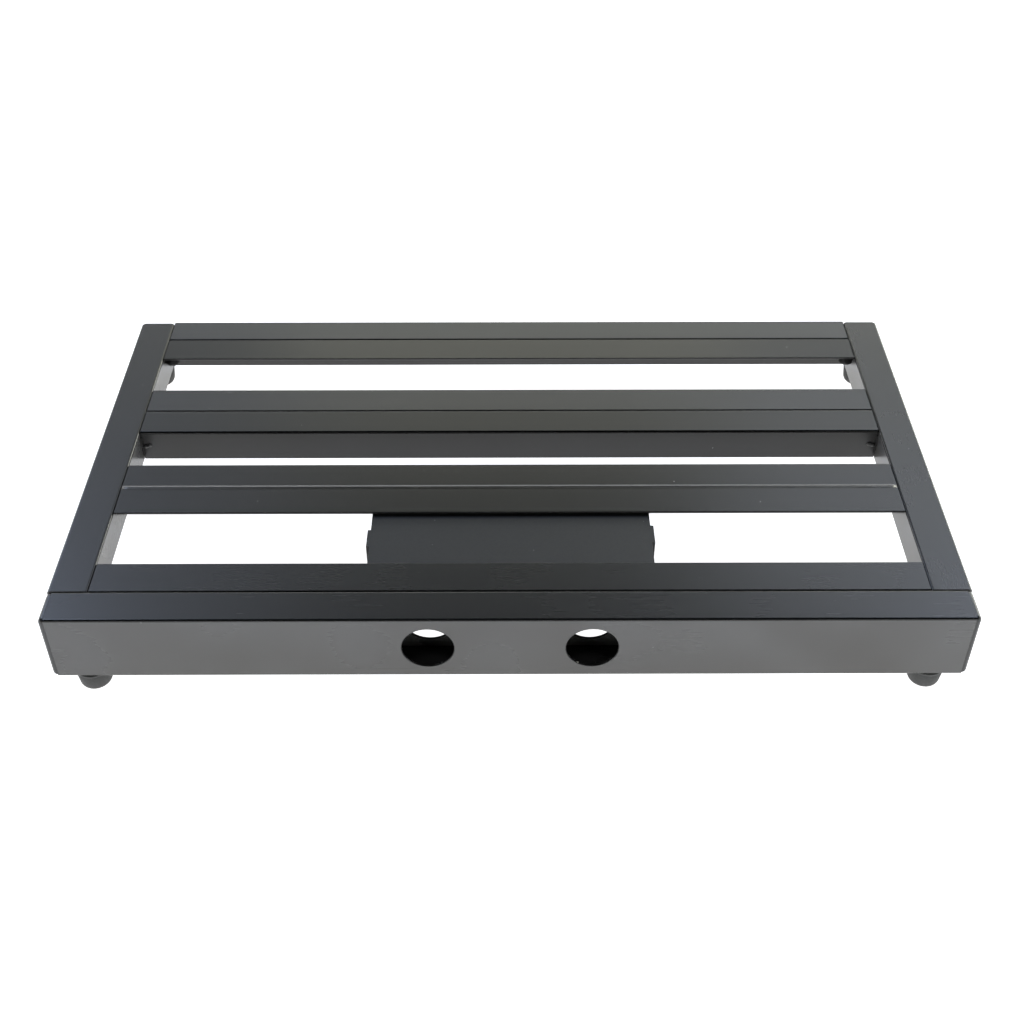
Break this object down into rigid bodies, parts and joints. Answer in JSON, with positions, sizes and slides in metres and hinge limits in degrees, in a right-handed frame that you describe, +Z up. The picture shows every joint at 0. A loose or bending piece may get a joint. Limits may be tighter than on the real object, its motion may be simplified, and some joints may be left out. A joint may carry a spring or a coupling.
{
  "type": "pedalboard",
  "caption": "Slatted effects pedalboard: welded aluminium box-tube frame with a tall cable-side rail, round cable holes, an under-slung power supply bracket and rubber feet.",
  "frame": {"origin": "on the floor under the middle of the board, at the bottom centre of its bounding box", "axes": "+Z up from the floor the feet stand on, +X along the long side to the right, +Y from the tall cable-side rail towards the player; the slats slope down towards +Y by 4.85 degrees"},
  "size_m": [0.565, 0.3256, 0.0637],
  "materials": {
    "frame_paint": "satin black coating on aluminium, faint drawing marks, rubbed slightly bright on the corners",
    "cap_plastic": "matt black moulded plastic",
    "weld_paint": "rippled weld bead under the same satin black coating",
    "bracket_paint": "satin black painted sheet steel",
    "weld_steel": "rippled weld bead under satin black paint",
    "spacer_nylon": "black nylon",
    "fastener_steel": "zinc-plated steel",
    "foot_rubber": "matt black moulded rubber with a thin parting line"
  },
  "bodies": {
    "root": {"rear_rail": "frame_paint", "side_rail_left": "frame_paint", "side_rail_right": "frame_paint", "front_rail": "frame_paint", "slat_2_tube": "frame_paint", "slat_3_tube": "frame_paint", "slat_1_strip": "frame_paint", "slat_2_strip": "frame_paint", "slat_3_strip": "frame_paint", "slat_4_strip": "frame_paint", "rear_cap_left": "cap_plastic", "rear_cap_right": "cap_plastic", "side_cap_left": "cap_plastic", "side_cap_right": "cap_plastic", "welds_rear_corners": "weld_paint", "welds_front_corners": "weld_paint", "welds_slat_2_tube": "weld_paint", "welds_slat_3_tube": "weld_paint", "welds_slat_1_strip": "weld_paint", "welds_slat_2_strip": "weld_paint", "welds_slat_3_strip": "weld_paint", "welds_slat_4_strip": "weld_paint", "bracket_plate": "bracket_paint", "bracket_arm_left": "bracket_paint", "bracket_arm_right": "bracket_paint", "welds_bracket": "weld_steel", "bracket_spacers": "spacer_nylon", "bracket_studs": "fastener_steel", "bracket_washers": "fastener_steel", "bracket_nuts": "fastener_steel", "foot_washers": "fastener_steel", "foot_screws": "fastener_steel", "foot_inserts": "fastener_steel", "foot_rear_left": "foot_rubber", "foot_rear_right": "foot_rubber", "foot_front_left": "foot_rubber", "foot_front_right": "foot_rubber"}
  },
  "joints": []
}
